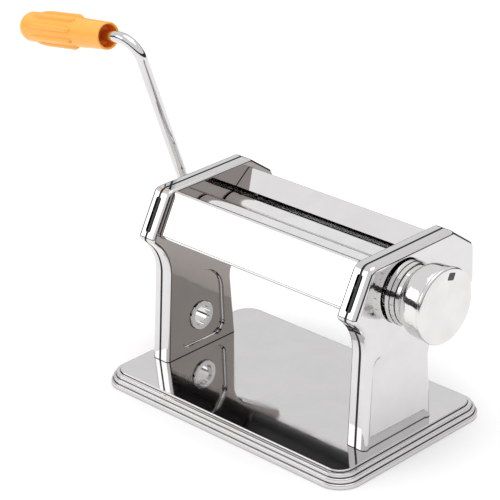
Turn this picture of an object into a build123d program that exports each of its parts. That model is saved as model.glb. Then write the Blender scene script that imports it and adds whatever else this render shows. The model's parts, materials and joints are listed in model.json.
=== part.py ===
from build123d import *
import math
import os

# Hand-cranked pasta roller machine.
# +X runs along the rollers towards the setting knob, -Y is the front, +Z is up.
# The origin is the centre of the base, on the surface the machine stands on. Millimetres.

# ---------------------------------------------------------------- driving dimensions
# base tray
BASE_DEPTH = 135.0
BASE_HEIGHT = 10.0
BASE_CORNER_R = 16.0
BASE_SHEET = 1.0
# the rim climbs in three ledges: (inset from the outer edge, height of the ledge)
BASE_LEDGES = [(0.0, 3.2), (1.6, 6.2), (3.4, 8.6)]
PLATEAU_INSET = 6.2
FOOT_R = 7.0
FOOT_SETBACK = 19.25
LEDGE_GROOVE = 0.5
SCREW_SHANK_R = 1.95
SCREW_HEAD_R = 3.8

# side assemblies
OPENING = 158.0
BASE_SIDE_MARGIN = 28.0
BASE_LENGTH = OPENING + 2 * BASE_SIDE_MARGIN
SIDE_THICKNESS = 15.3
PLATE_THICKNESS = 1.8
SHELL_SHEET = 0.8
INNER_EDGE_R = 2.2
OUTER_EDGE_R = 3.4
PLATE_INSET = 0.5
FLANGE_WIDTH = 5.6
TAB_LENGTH = 12.0
# the shells stand this far off the tray; the frame plates alone rest on it
SHELL_LIFT = 0.35
# slot where the two shells part on the slanted front of the head
SLOT_WIDTH = 4.4
SLOT_DEPTH = 2.0
SLOT_ENDS = 5.5
# soft panel pressed into the leg of each outer shell
PANEL_TOP = 70.0
PANEL_INSET = 3.4
PANEL_CORNER_R = 8.0
PANEL_SLOPE = 2.2
PANEL_DEPTH = 1.0

# outline of a side, as (y, z) with the radius of each corner
TIP = (-41.0, 98.9, 3.0)
TOP_FRONT = (-23.9, 128.9, 6.0)
TOP_BACK = (48.2, 128.9, 6.0)
BACK_UPPER = (69.0, 113.6, 6.0)
BACK_LOWER = (69.0, 87.6, 4.0)
REAR_WAIST = (26.2, 60.0, 16.0)
FRONT_WAIST = (-26.8, 84.0, 30.0)
LEG_FRONT_FOOT_Y = -33.6
LEG_REAR_FOOT_Y = 28.4

# arched emboss and clamp eyelet low on the inner shells
ARCH_HALF_WIDTH = 20.3
ARCH_Y = -1.2
ARCH_TOP = 65.5
ARCH_BOTTOM = 14.0
ARCH_DEPTH = 2.4
CLAMP_Y = 0.0
CLAMP_Z = 32.0
CLAMP_R = 6.8
EYELET_WALL = 0.8
EYELET_FLANGE_R = 10.0

# rollers
ROLLER_R = 12.3
ROLLER_LENGTH = 156.0
KNOB_AXIS = (4.5, 104.3)
AXIS_DISTANCE = 25.9
AXIS_DROP_DEG = 11.3
ECCENTRICITY = 1.0
SHAFT_R = 5.0
SHAFT_JOURNAL_R = 3.6
NECK_R = 8.0
SMALL_JOURNAL_R = 5.0
BIG_JOURNAL_R = 7.0
ROLLER_BUSH_WALL = 1.5
ROLLER_BUSH_LENGTH = 14.0
PLATE_BUSH_WALL = 1.2
RUN_CLEARANCE = 0.04
FIT_CLEARANCE = 0.02
LOOSE = 0.5

# gears
GEAR_TEETH = 12
GEAR_MODULE = 2.075
GEAR_WIDTH = 4.6
GEAR_BACKLASH = 1.8
GEAR_ADDENDUM = 0.85
GEAR_DEDENDUM = 1.2
GEAR_FLANK_DEG = 24.0

# crank
CRANK_ROD_R = 3.75
CRANK_ARM_X = -120.9
CRANK_LENGTH = 124.9
CRANK_LEAN_DEG = 18.4
GRIP_DROOP_DEG = 9.65
HUB_BEND_R = 11.0
TOP_BEND_R = 14.0
CRANK_INSERT = 22.0
CRANK_FLAT = 2.7
SOCKET_DEPTH = 24.0
TANG_R = 2.6
GRIP_START = 27.4
GRIP_LENGTH = 90.0
GRIP_MOUTH_R = 9.1
GRIP_BODY_R = 10.1
GRIP_BORE_R = 4.2
GRIP_CUP_DEPTH = 9.0
GRIP_CUP_R = 7.4
GRIP_RIBS = 8
GRIP_RIB_HEIGHT = 1.7
GRIP_RIB_WIDTH = 3.6
GRIP_END_DEPTH = 14.0
GRIP_SCREW_R = 1.4
END_CAP_R = 5.2

# knob, measured outwards from the right outer face
FLANGE_BACK = 1.7
FLANGE_FRONT = 4.6
FLANGE_R = 20.7
DIAL_BACK = 5.0
DIAL_FRONT = 7.8
DIAL_R = 20.3
WAIST_R = 19.2
DRUM_R = 23.7
CAP_BACK = 28.9
CAP_FRONT = 31.4
CAP_R = 24.2
CAP_EDGE_R = 1.5
CAP_DISH_R = 21.0
CAP_FACE_R = 15.6
CAP_DISH = 0.5
KNOB_HOLLOW_R = 8.2
KNOB_TURN_DEG = 180.0
KNOB_PULL = 5.0
INDEX_RADIUS = 17.2
INDEX_PIN_R = 1.5
INDEX_ANGLE_DEG = 223.0
INDEX_STOPS = 9
KNOB_SEAT = 21.0
KNOB_SHOULDER = 10.0
SHAFT_FLAT = 2.7
KNOB_SCREW_R = 1.6
SPRING_R = 5.3
SPRING_WIRE_R = 0.45
SPRING_TURNS = 5
MARK_RADIUS = 18.4
MARK_LENGTH = 4.8
MARK_WIDTH = 5.6
MARK_ANGLE_DEG = 73.4

# covers
COVER_SHEET = 0.8
COVER_END_GAP = 0.4
FRONT_COVER = [(-27.0, 97.6), (-34.6, 101.4), (-19.6, 127.9), (-16.4, 126.4)]
REAR_COVER = [(34.4, 113.9), (46.8, 123.4), (64.2, 110.8), (64.2, 90.5), (57.5, 88.4)]
COVER_BEND_R = 1.6
# end ears of the covers, which the rods pass through, as (y, z)
FRONT_EAR = [(-33.8, 102.8), (-20.6, 126.1), (-14.6, 114.0), (-14.6, 106.0), (-26.0, 100.6)]
REAR_EAR = [(47.0, 122.6), (63.6, 110.4), (63.6, 91.6), (52.0, 91.6), (52.0, 104.0), (42.2, 108.0),
            (40.4, 117.6)]

# rods between the sides, as (y, z)
ROD_R = 4.0
ROD_THREAD_R = 2.5
TIE_RODS = [(-20.6, 110.0), (47.4, 112.6), (57.2, 96.4)]
SCRAPER_RODS = [(-15.6, 93.0), (41.6, 81.6)]
SCRAPER_ROD_R = 3.0
SCRAPER_SHEET = 0.8
SCRAPER_GAP = 0.5
NUT_FLATS = 8.0
NUT_HEIGHT = 4.0

# ---------------------------------------------------------------- derived places
FOOT_X = BASE_LENGTH / 2 - FOOT_SETBACK
FOOT_Y = BASE_DEPTH / 2 - FOOT_SETBACK
UP = (Align.CENTER, Align.CENTER, Align.MIN)
INNER_FACE = OPENING / 2
OUTER_FACE = INNER_FACE + SIDE_THICKNESS
PLATE_IN = INNER_FACE + SIDE_THICKNESS / 2 - PLATE_THICKNESS / 2 - 0.05
PLATE_OUT = PLATE_IN + PLATE_THICKNESS
ROD_END = PLATE_OUT + NUT_HEIGHT + 0.6
drop = math.radians(AXIS_DROP_DEG)
REAR_AXIS = (KNOB_AXIS[0] + AXIS_DISTANCE * math.cos(drop), KNOB_AXIS[1] - AXIS_DISTANCE * math.sin(drop))
FRONT_AXIS = (KNOB_AXIS[0] + ECCENTRICITY * math.sin(drop), KNOB_AXIS[1] + ECCENTRICITY * math.cos(drop))
ROLLER_BORE_R = SHAFT_R + RUN_CLEARANCE * 2 + ROLLER_BUSH_WALL
GEAR_OUT = PLATE_IN - 0.7
GEAR_IN = GEAR_OUT - GEAR_WIDTH

os.makedirs("parts", exist_ok=True)
written = []


def save(solids, name):
    """Write one named piece, or a group of equal pieces, to its own file."""
    shape = Compound(children=solids) if isinstance(solids, list) else solids
    shape.label = name
    export_step(shape, f"parts/{name}.step")
    written.append(name)
    return shape


def plane_x(x):
    """The plane at X = x whose own axes are +Y and +Z."""
    return Plane(origin=(x, 0, 0), x_dir=(0, 1, 0), z_dir=(1, 0, 0))


def outline(points, radii):
    """A closed face in a plane's own axes; each corner has its own radius, 0 for a sharp one."""
    face = make_face(Polyline(*points, close=True))
    for point, radius in zip(points, radii):
        if radius:
            face = fillet(face.vertices().sort_by_distance(point)[0], radius)
    return face


def slab(face, low, high):
    """A flat face of (y, z) made solid between two X values."""
    return extrude(plane_x(low) * face, high - low)


def cyl_x(radius, low, high, centre):
    """A cylinder along X."""
    return slab(Pos(*centre) * Circle(radius), low, high)


def ring_x(outer, inner, low, high, centre):
    """A tube along X."""
    return slab(Pos(*centre) * (Circle(outer) - Circle(inner)), low, high)


def turned(profile, centre):
    """A closed profile of (x, radius) turned about an axis along X through centre."""
    face = make_face(Polyline(*[(x, 0, r) for x, r in profile], close=True))
    return Pos(0, centre[0], centre[1]) * revolve(face, Axis.X)


def hex_x(flats, low, high, centre):
    """A hexagonal prism along X."""
    return slab(Pos(*centre) * RegularPolygon(flats / math.sqrt(3), 6), low, high)


def mirrored(shape):
    """The same piece on the other side of the machine."""
    return mirror(shape, about=Plane.YZ)


# ---------------------------------------------------------------- side outline
def side_face(foot_z):
    """Outline of one side down to the height foot_z, its legs run on along their own slope."""
    def foot(y_at_base, waist):
        slope = (waist[0] - y_at_base) / (waist[1] - BASE_HEIGHT)
        return (y_at_base + slope * (foot_z - BASE_HEIGHT), foot_z)

    corners = [TIP, TOP_FRONT, TOP_BACK, BACK_UPPER, BACK_LOWER, REAR_WAIST, FRONT_WAIST]
    front = foot(LEG_FRONT_FOOT_Y, FRONT_WAIST)
    rear = foot(LEG_REAR_FOOT_Y, REAR_WAIST)
    points = [c[:2] for c in corners[:6]] + [rear, front, FRONT_WAIST[:2]]
    radii = [c[2] for c in corners[:6]] + [0, 0, FRONT_WAIST[2]]
    return outline(points, radii)


FACE = side_face(BASE_HEIGHT + SHELL_LIFT)
LONG_FACE = side_face(BASE_HEIGHT - 8)
INSET_FACE = offset(LONG_FACE, -SHELL_SHEET)
PLATE_FACE = offset(LONG_FACE, -PLATE_INSET)


def pan(face, inner, low, high, round_at, edge_r):
    """One half of a side: a dished sheet with a rolled edge at round_at, open at the other face."""
    outer = slab(face, low, high)
    rim = [e for e in outer.faces().sort_by(Axis.X)[-1 if round_at == high else 0].edges()
           if e.center().Z > BASE_HEIGHT + SHELL_LIFT + 0.1]
    outer = fillet(rim, edge_r)
    if round_at == high:
        hollow = slab(inner, low - 1, high - SHELL_SHEET)
    else:
        hollow = slab(inner, low + SHELL_SHEET, high + 1)
    end = hollow.faces().sort_by(Axis.X)[-1 if round_at == high else 0]
    hollow = fillet([e for e in end.edges() if e.center().Z > BASE_HEIGHT - 6], edge_r - SHELL_SHEET)
    return outer, hollow


def arch(grow, low, high):
    """The arched pocket pressed into an inner shell."""
    half = ARCH_HALF_WIDTH + grow
    low_z = ARCH_BOTTOM - grow
    top_z = ARCH_TOP + grow
    points = [(ARCH_Y - half, low_z), (ARCH_Y + half, low_z), (ARCH_Y + half, top_z), (ARCH_Y - half, top_z)]
    face = outline(points, [9 + grow, 9 + grow, half - 0.01, half - 0.01])
    return slab(face, low, high)


def head_slot():
    """Cutter for the slot between the two shells on the slanted front of the head."""
    run = (TOP_FRONT[0] - TIP[0], TOP_FRONT[1] - TIP[1])
    length = math.hypot(*run)
    middle = ((TOP_FRONT[0] + TIP[0]) / 2, (TOP_FRONT[1] + TIP[1]) / 2)
    at = Plane(origin=(PLATE_IN + PLATE_THICKNESS / 2, *middle), x_dir=(1, 0, 0), z_dir=(0, -run[1], run[0]))
    return at * fillet(Box(SLOT_WIDTH, length - 2 * SLOT_ENDS, 2 * SLOT_DEPTH).edges().filter_by(Axis.Z), 1.2)


def panel_face(inset):
    """Outline of the panel in the leg, drawn in by inset."""
    def edge(y_at_base, waist, z, side):
        slope = (waist[0] - y_at_base) / (waist[1] - BASE_HEIGHT)
        return y_at_base + slope * (z - BASE_HEIGHT) - side * (PANEL_INSET + inset)

    top, bottom = PANEL_TOP - inset, BASE_HEIGHT - 6
    points = [(edge(LEG_FRONT_FOOT_Y, FRONT_WAIST, bottom, -1), bottom),
              (edge(LEG_REAR_FOOT_Y, REAR_WAIST, bottom, 1), bottom),
              (edge(LEG_REAR_FOOT_Y, REAR_WAIST, top, 1), top),
              (edge(LEG_FRONT_FOOT_Y, FRONT_WAIST, top, -1), top)]
    return outline(points, [0, 0, PANEL_CORNER_R - inset, PANEL_CORNER_R - inset])


def leg_panel():
    """The pressed panel as (cutter, metal behind it)."""
    slope = PANEL_SLOPE / PANEL_DEPTH
    lead = 0.2
    sections = [plane_x(OUTER_FACE + lead) * panel_face(-lead * slope),
                plane_x(OUTER_FACE - PANEL_DEPTH) * panel_face(PANEL_SLOPE)]
    behind = slab(panel_face(0), OUTER_FACE - PANEL_DEPTH - SHELL_SHEET, OUTER_FACE - SHELL_SHEET / 2)
    return loft(sections, ruled=True), behind


def inner_shell(side):
    """Dished inner panel of the side at +X, with the arched pocket; side is 'left' or 'right'."""
    outer, hollow = pan(FACE, INSET_FACE, INNER_FACE, PLATE_IN, INNER_FACE, INNER_EDGE_R)
    pocket = arch(0, INNER_FACE - 1, INNER_FACE + ARCH_DEPTH)
    pocket = fillet(pocket.faces().sort_by(Axis.X)[-1].edges(), 1.2)
    backing = arch(SHELL_SHEET, INNER_FACE, INNER_FACE + ARCH_DEPTH + SHELL_SHEET)
    shell = outer - hollow + (backing & outer) - pocket
    for centre in TIE_RODS:
        shell -= cyl_x(ROD_R + 0.2, INNER_FACE - 1, PLATE_IN, centre)
    for centre in SCRAPER_RODS:
        shell -= cyl_x(SCRAPER_ROD_R + 0.2, INNER_FACE - 1, PLATE_IN, centre)
    rear_r, front_r = SMALL_JOURNAL_R + LOOSE, SHAFT_R + ECCENTRICITY + LOOSE
    if side == "left":
        rear_r, front_r = NECK_R + LOOSE, NECK_R + 2 * ECCENTRICITY + LOOSE
        shell -= cyl_x(CLAMP_R + EYELET_WALL + FIT_CLEARANCE, INNER_FACE, PLATE_IN, (CLAMP_Y, CLAMP_Z))
    shell -= cyl_x(rear_r, INNER_FACE - 1, PLATE_IN, REAR_AXIS)
    shell -= cyl_x(front_r, INNER_FACE - 1, PLATE_IN, KNOB_AXIS)
    return shell - head_slot()


def outer_shell(side):
    """Dished outer panel of the side at +X."""
    outer, hollow = pan(FACE, INSET_FACE, PLATE_OUT, OUTER_FACE, OUTER_FACE, OUTER_EDGE_R)
    cutter, behind = leg_panel()
    shell = outer - hollow + (behind & outer) - cutter - head_slot()
    if side == "left":
        shell -= cyl_x(CLAMP_R + EYELET_WALL + FIT_CLEARANCE, PLATE_OUT, OUTER_FACE + 1, (CLAMP_Y, CLAMP_Z))
        shell -= cyl_x(BIG_JOURNAL_R + 1.6, PLATE_OUT, OUTER_FACE + 1, REAR_AXIS)
    else:
        shell -= cyl_x(SHAFT_JOURNAL_R + 1.2, PLATE_OUT, OUTER_FACE + 1, KNOB_AXIS)
        shell -= cyl_x(INDEX_PIN_R + FIT_CLEARANCE, PLATE_OUT, OUTER_FACE + 1, INDEX_PIN)
    return shell


def polar(centre, radius, degrees):
    """A point at an angle from +Y towards +Z about a centre."""
    a = math.radians(degrees)
    return (centre[0] + radius * math.cos(a), centre[1] + radius * math.sin(a))


INDEX_PIN = polar(KNOB_AXIS, INDEX_RADIUS, INDEX_ANGLE_DEG)
FRAME_SCREWS = [(-14.0, BASE_HEIGHT), (14.0, BASE_HEIGHT)]
SCREW_X = PLATE_IN - FLANGE_WIDTH / 2


def frame_plate(side):
    """Load-bearing steel plate in the middle of the side at +X, with a foot flange turned inwards."""
    plate = slab(PLATE_FACE, PLATE_IN, PLATE_OUT)
    plate -= Pos(PLATE_IN, 0, BASE_HEIGHT / 2 - 5) * Box(40, 200, BASE_HEIGHT + 10)
    foot = Box(FLANGE_WIDTH + 0.2, 2 * TAB_LENGTH + 28, PLATE_THICKNESS,
               align=(Align.MAX, Align.CENTER, Align.MIN))
    plate += Pos(PLATE_IN + 0.2, 0, BASE_HEIGHT) * foot
    for y, z in FRAME_SCREWS:
        plate -= Pos(SCREW_X, y, z) * Cylinder(SCREW_SHANK_R + FIT_CLEARANCE, 3 * PLATE_THICKNESS)
    for centre in TIE_RODS + SCRAPER_RODS:
        plate -= cyl_x(ROD_THREAD_R + 0.1, PLATE_IN - 1, PLATE_OUT + 1, centre)
    for centre, radius in side_bores(side):
        plate -= cyl_x(radius + FIT_CLEARANCE, PLATE_IN - 1, PLATE_OUT + 1, centre)
    return plate


def side_bores(side):
    """Bores of a frame plate, as (centre, radius)."""
    rear = (BIG_JOURNAL_R if side == "left" else SMALL_JOURNAL_R) + RUN_CLEARANCE + PLATE_BUSH_WALL
    bores = [(REAR_AXIS, rear), (KNOB_AXIS, SHAFT_JOURNAL_R + RUN_CLEARANCE + PLATE_BUSH_WALL)]
    if side == "left":
        bores.append(((CLAMP_Y, CLAMP_Z), CLAMP_R + EYELET_WALL))
    else:
        bores.append((INDEX_PIN, INDEX_PIN_R))
    return bores


def plate_bush(journal_r, centre):
    """Flanged bush for the plate at +X."""
    wall = journal_r + RUN_CLEARANCE + PLATE_BUSH_WALL
    tube = ring_x(wall, journal_r + RUN_CLEARANCE, PLATE_IN - 0.3, PLATE_OUT + 1.0, centre)
    flange = ring_x(wall + 1.5, journal_r + RUN_CLEARANCE, PLATE_OUT, PLATE_OUT + 1.0, centre)
    return tube + flange


# ---------------------------------------------------------------- base


def base_layers(inset, lift):
    """The stepped rim and plateau of the base as one solid, drawn in by inset and lowered by lift."""
    steps = BASE_LEDGES + [(PLATEAU_INSET, BASE_HEIGHT)]
    body = None
    for ledge, height in steps:
        grow = ledge + inset
        face = RectangleRounded(BASE_LENGTH - 2 * grow, BASE_DEPTH - 2 * grow, BASE_CORNER_R - grow)
        layer = extrude(face, height - lift)
        round_r = 0.9 if height < BASE_HEIGHT else 0.6
        layer = fillet(layer.faces().sort_by(Axis.Z)[-1].edges(), round_r)
        body = layer if body is None else body + layer
    return body


def ledge_groove(inset, height):
    """Thin valley at the foot of a ledge, all the way round."""
    wall = RectangleRounded(BASE_LENGTH - 2 * inset, BASE_DEPTH - 2 * inset, BASE_CORNER_R - inset)
    out = inset - LEDGE_GROOVE
    valley = RectangleRounded(BASE_LENGTH - 2 * out, BASE_DEPTH - 2 * out, BASE_CORNER_R - out) - wall
    return Pos(0, 0, height - LEDGE_GROOVE) * extrude(valley, LEDGE_GROOVE + 0.05)


def base_plate():
    """Pressed base tray, open underneath."""
    tray = base_layers(0, 0) - base_layers(BASE_SHEET, BASE_SHEET)
    insets = [ledge for ledge, height in BASE_LEDGES[1:]] + [PLATEAU_INSET]
    for inset, (ledge, height) in zip(insets, BASE_LEDGES):
        tray -= ledge_groove(inset, height)
    for side in (-1, 1):
        for y, z in FRAME_SCREWS:
            tray -= Pos(side * SCREW_X, y, z) * Cylinder(SCREW_SHANK_R + 0.2, 4 * BASE_SHEET)
    return tray


def base_screw(x, y):
    """Pan-head screw driven up through the tray into the foot flange."""
    head_top = BASE_HEIGHT - BASE_SHEET
    head = Pos(x, y, head_top - 2.2) * Cylinder(SCREW_HEAD_R, 2.2, align=UP)
    head = fillet(head.faces().sort_by(Axis.Z)[0].edges(), 0.9)
    shank = Pos(x, y, head_top) * Cylinder(SCREW_SHANK_R, BASE_SHEET + PLATE_THICKNESS,
                                           align=UP)
    slot = Pos(x, y, head_top - 2.2) * (Box(4, 0.8, 2.2) + Box(0.8, 4, 2.2))
    return head + shank - slot


save(base_plate(), "base_plate")
save([Pos(sx * FOOT_X, sy * FOOT_Y, 0) * Cylinder(FOOT_R, BASE_HEIGHT - BASE_SHEET,
      align=UP) for sx in (-1, 1) for sy in (-1, 1)], "rubber_feet")
save([base_screw(s * SCREW_X, y) for s in (-1, 1) for y, z in FRAME_SCREWS], "base_screws")

# ---------------------------------------------------------------- sides
save(mirrored(frame_plate("left")), "left_frame_plate")
save(frame_plate("right"), "right_frame_plate")
save(mirrored(inner_shell("left")), "left_inner_shell")
save(inner_shell("right"), "right_inner_shell")
save(mirrored(outer_shell("left")), "left_outer_shell")
save(outer_shell("right"), "right_outer_shell")
drive_bushes = [mirrored(plate_bush(BIG_JOURNAL_R, REAR_AXIS)), plate_bush(SMALL_JOURNAL_R, REAR_AXIS)]
shaft_bushes = [mirrored(plate_bush(SHAFT_JOURNAL_R, KNOB_AXIS)), plate_bush(SHAFT_JOURNAL_R, KNOB_AXIS)]
save(drive_bushes, "rear_roller_bushes")
save(shaft_bushes, "knob_shaft_bushes")


def clamp_eyelet():
    """Rolled eyelet right through the left side, which takes the pin of a table clamp."""
    floor = INNER_FACE + ARCH_DEPTH
    seat = OUTER_FACE - PANEL_DEPTH
    wall = CLAMP_R + EYELET_WALL
    centre = (CLAMP_Y, CLAMP_Z)
    tube = ring_x(wall, CLAMP_R, floor - 1.2, seat + 1.2, centre)
    inner = ring_x(EYELET_FLANGE_R, CLAMP_R, floor - 1.2, floor, centre)
    outer = ring_x(EYELET_FLANGE_R, CLAMP_R, seat, seat + 1.2, centre)
    inner = fillet(inner.faces().sort_by(Axis.X)[0].edges(), 0.55)
    outer = fillet(outer.faces().sort_by(Axis.X)[-1].edges(), 0.55)
    return tube + inner + outer


save(mirrored(clamp_eyelet()), "clamp_eyelet")

# ---------------------------------------------------------------- rollers and gears
TIP_R = GEAR_TEETH * GEAR_MODULE / 2 + GEAR_MODULE * GEAR_ADDENDUM
ROOT_R = GEAR_TEETH * GEAR_MODULE / 2 - GEAR_MODULE * GEAR_DEDENDUM
# half a tooth, less a quarter of the sideways travel that the eccentric gives the front roller
FRONT_PHASE_DEG = 180.0 / GEAR_TEETH - math.degrees(ECCENTRICITY / (2 * GEAR_TEETH * GEAR_MODULE))


def gear(centre, tooth_angle_deg):
    """Spur gear on a roller neck at +X, one tooth pointing at tooth_angle_deg from +Y."""
    pitch_r = GEAR_TEETH * GEAR_MODULE / 2
    lean = math.tan(math.radians(GEAR_FLANK_DEG))
    half_at_pitch = (math.pi * GEAR_MODULE - GEAR_BACKLASH) / 4
    half_at_root = half_at_pitch + (pitch_r - ROOT_R) * lean
    half_at_tip = half_at_pitch - (TIP_R - pitch_r) * lean
    points = []
    for tooth in range(GEAR_TEETH):
        middle = math.radians(tooth_angle_deg) + tooth * math.tau / GEAR_TEETH
        for radius, half in ((ROOT_R, -half_at_root), (TIP_R, -half_at_tip),
                             (TIP_R, half_at_tip), (ROOT_R, half_at_root)):
            a = middle + half / radius
            points.append((radius * math.cos(a), radius * math.sin(a)))
    face = make_face(Polyline(*points, close=True)) - Circle(NECK_R + FIT_CLEARANCE)
    return slab(Pos(*centre) * face, GEAR_IN, GEAR_OUT)


def d_face(radius, flat):
    """A circle with one flat towards +Z at the distance flat from its centre."""
    return Circle(radius) - Pos(0, flat + radius) * Rectangle(4 * radius, 2 * radius)


def rear_roller():
    """Driven roller: plain barrel, gear neck and crank socket on the left, journals in both plates."""
    half = ROLLER_LENGTH / 2
    barrel = cyl_x(ROLLER_R, -half, half, REAR_AXIS)
    barrel = chamfer(barrel.edges(), 0.5)
    neck = cyl_x(NECK_R, -GEAR_OUT, -half, REAR_AXIS)
    big = cyl_x(BIG_JOURNAL_R, -OUTER_FACE - 1.0, -GEAR_OUT, REAR_AXIS)
    small = cyl_x(SMALL_JOURNAL_R, half, PLATE_OUT + 2.5, REAR_AXIS)
    socket_face = Pos(*REAR_AXIS) * d_face(CRANK_ROD_R + RUN_CLEARANCE, CRANK_FLAT + RUN_CLEARANCE)
    socket = slab(socket_face, -OUTER_FACE - 2.0, -OUTER_FACE - 1.0 + SOCKET_DEPTH)
    return barrel + neck + big + small - socket


def front_roller():
    """Adjustable roller: a tube which turns on bushes on the eccentric shaft, gear neck on the left."""
    half = ROLLER_LENGTH / 2
    barrel = cyl_x(ROLLER_R, -half, half, FRONT_AXIS)
    barrel = chamfer(barrel.edges(), 0.5)
    neck = cyl_x(NECK_R, -GEAR_OUT, -half, FRONT_AXIS)
    return barrel + neck - cyl_x(ROLLER_BORE_R, -OUTER_FACE, OUTER_FACE, FRONT_AXIS)


def front_roller_bush(low):
    """Plain bush between the eccentric shaft and the roller's bore."""
    inner = SHAFT_R + RUN_CLEARANCE
    return ring_x(inner + ROLLER_BUSH_WALL, inner, low, low + ROLLER_BUSH_LENGTH, FRONT_AXIS)


def eccentric_shaft():
    """Shaft with its middle set off from the journals that the knob turns."""
    end = PLATE_IN - 0.5
    middle = cyl_x(SHAFT_R, -end, end, FRONT_AXIS)
    journals = cyl_x(SHAFT_JOURNAL_R, -PLATE_OUT - 2.0, OUTER_FACE + KNOB_SEAT, KNOB_AXIS)
    flats = cyl_x(SHAFT_JOURNAL_R + 1, OUTER_FACE + FLANGE_BACK - 0.8, OUTER_FACE + KNOB_SEAT + 1, KNOB_AXIS)
    flats -= slab(Pos(*KNOB_AXIS) * Rectangle(2 * SHAFT_FLAT, 20), OUTER_FACE, OUTER_FACE + KNOB_SEAT + 2)
    thread = cyl_x(KNOB_SCREW_R + 0.03, OUTER_FACE + KNOB_SEAT - 9, OUTER_FACE + KNOB_SEAT + 1, KNOB_AXIS)
    return middle + journals - flats - thread


rear_tooth = 180.0 - AXIS_DROP_DEG
bush_low = ROLLER_LENGTH / 2 - ROLLER_BUSH_LENGTH - 1.0
save(rear_roller(), "rear_roller")
save(front_roller(), "front_roller")
save([front_roller_bush(-bush_low - ROLLER_BUSH_LENGTH), front_roller_bush(bush_low)], "front_roller_bushes")
save(eccentric_shaft(), "eccentric_shaft")
save(mirrored(gear(REAR_AXIS, rear_tooth)), "rear_roller_gear")
save(mirrored(gear(FRONT_AXIS, FRONT_PHASE_DEG - AXIS_DROP_DEG)), "front_roller_gear")


# ---------------------------------------------------------------- knob
def knob_bore(x_low, x_high):
    """Two-flatted bore that slides on the end of the eccentric shaft."""
    gap = RUN_CLEARANCE + 0.02
    face = Circle(SHAFT_JOURNAL_R + gap) & Rectangle(2 * (SHAFT_FLAT + gap), 20)
    return slab(Pos(*KNOB_AXIS) * face, x_low, x_high)


def index_slot():
    """Arc slot in the back of the knob flange, widened at each setting, in which the index pin runs."""
    low, high = OUTER_FACE + FLANGE_BACK - 1, OUTER_FACE + FLANGE_FRONT - 0.5
    track = INDEX_PIN_R + 0.2
    stops = None
    for stop in range(INDEX_STOPS):
        turn = INDEX_ANGLE_DEG - KNOB_TURN_DEG / 2 + stop * KNOB_TURN_DEG / (INDEX_STOPS - 1)
        pocket = cyl_x(INDEX_PIN_R + 0.6, low, high, polar(KNOB_AXIS, INDEX_RADIUS, turn))
        stops = pocket if stops is None else stops + pocket
    band = Circle(INDEX_RADIUS + track) - Circle(INDEX_RADIUS - track)
    start = INDEX_ANGLE_DEG - KNOB_TURN_DEG / 2
    rim = [polar((0, 0), 40, start + KNOB_TURN_DEG * k / 4) for k in range(5)]
    sector = make_face(Polyline((0, 0), *rim, close=True))
    return stops + slab(Pos(*KNOB_AXIS) * (band & sector), low, high)


def knob_body():
    """Flange, waist and flared drum in one piece, hollow in front for the spring and screw."""
    f = OUTER_FACE
    seat = DIAL_R - 2.6
    # the waist sweeps up into the drum: (distance from the side, radius)
    sweep_up = [(DIAL_FRONT + 0.5, WAIST_R), (DIAL_FRONT + 3.0, WAIST_R - 0.2), (12.0, WAIST_R + 0.4),
                (13.2, WAIST_R + 1.5), (14.6, WAIST_R + 2.7), (16.4, WAIST_R + 3.6), (18.6, WAIST_R + 4.1),
                (21.5, DRUM_R - 0.2), (CAP_BACK - 1.0, DRUM_R), (CAP_BACK, DRUM_R - 0.5)]
    profile = [(f + FLANGE_BACK, FLANGE_R), (f + FLANGE_FRONT, FLANGE_R), (f + FLANGE_FRONT, seat),
               (f + DIAL_FRONT + 0.5, seat)] + [(f + x, r) for x, r in sweep_up]
    profile += [(f + CAP_BACK, KNOB_HOLLOW_R), (f + KNOB_SHOULDER, KNOB_HOLLOW_R), (f + KNOB_SHOULDER, 0),
                (f + FLANGE_BACK, 0)]
    body = turned(profile, KNOB_AXIS)
    body -= knob_bore(f, f + KNOB_SHOULDER + 1)
    return body - index_slot()


def knob_dial():
    """Number ring behind the drum."""
    f = OUTER_FACE
    return ring_x(DIAL_R, DIAL_R - 2.6 + FIT_CLEARANCE, f + DIAL_BACK, f + DIAL_FRONT, KNOB_AXIS)


def knob_cap():
    """Front disc with a rolled edge and a spigot pressed into the drum."""
    f = OUTER_FACE
    disc = cyl_x(CAP_R, f + CAP_BACK, f + CAP_FRONT, KNOB_AXIS)
    disc = fillet(disc.faces().sort_by(Axis.X)[-1].edges(), CAP_EDGE_R)
    disc = fillet(disc.faces().sort_by(Axis.X)[0].edges(), 0.5)
    dish = turned([(f + CAP_FRONT + 1, 0), (f + CAP_FRONT + 1, CAP_DISH_R), (f + CAP_FRONT, CAP_DISH_R),
                   (f + CAP_FRONT - CAP_DISH, CAP_FACE_R), (f + CAP_FRONT - CAP_DISH, 0)], KNOB_AXIS)
    spigot_r = KNOB_HOLLOW_R - FIT_CLEARANCE
    spigot = ring_x(spigot_r, KNOB_HOLLOW_R - 1.6, f + CAP_BACK - 1.8, f + CAP_BACK, KNOB_AXIS)
    return disc - dish + spigot - mark_block(0.08, 1.4)


def mark_block(grow, depth):
    """Small sector window near the rim of the cap, which points at the setting."""
    f = OUTER_FACE + CAP_FRONT
    face = Rectangle(MARK_LENGTH + 2 * grow, MARK_WIDTH + 2 * grow)
    face = fillet(face.vertices(), 0.9)
    at = Rot(0, 0, MARK_ANGLE_DEG) * Pos(MARK_RADIUS, 0) * face
    return slab(Pos(*KNOB_AXIS) * at, f - depth, f + 1.0 - (0 if grow else 1.3))


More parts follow.
